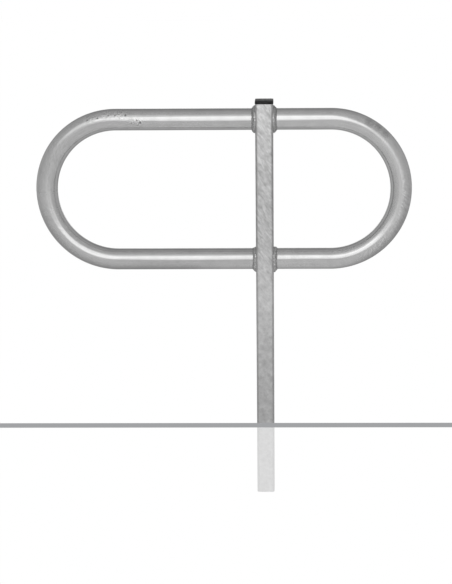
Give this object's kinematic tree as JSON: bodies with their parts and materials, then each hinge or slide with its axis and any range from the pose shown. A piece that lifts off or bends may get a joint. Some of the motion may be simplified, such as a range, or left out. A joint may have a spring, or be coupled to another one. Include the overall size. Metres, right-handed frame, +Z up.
{
  "type": "hoop bike rack",
  "caption": "Galvanised bike rack: an off-centre stadium-shaped hoop of round tube welded to a capped rectangular post that is set in the ground.",
  "frame": {"origin": "on the post's axis, at ground level", "axes": "+Z up along the post, +X along the hoop towards its short half, +Y across the hoop, away from the viewer of the picture"},
  "size_m": [0.848, 0.0614, 0.915],
  "materials": {
    "zinc_steel": "hot-dip galvanised, satin",
    "zinc_weld": "hot-dip galvanised over a rippled weld",
    "black_plastic": "moulded, satin"
  },
  "bodies": {
    "root": {"post": "zinc_steel", "long_hoop": "zinc_steel", "short_hoop": "zinc_steel", "weld_long_top": "zinc_weld", "weld_long_bottom": "zinc_weld", "weld_short_top": "zinc_weld", "weld_short_bottom": "zinc_weld", "post_cap": "black_plastic"}
  },
  "joints": []
}
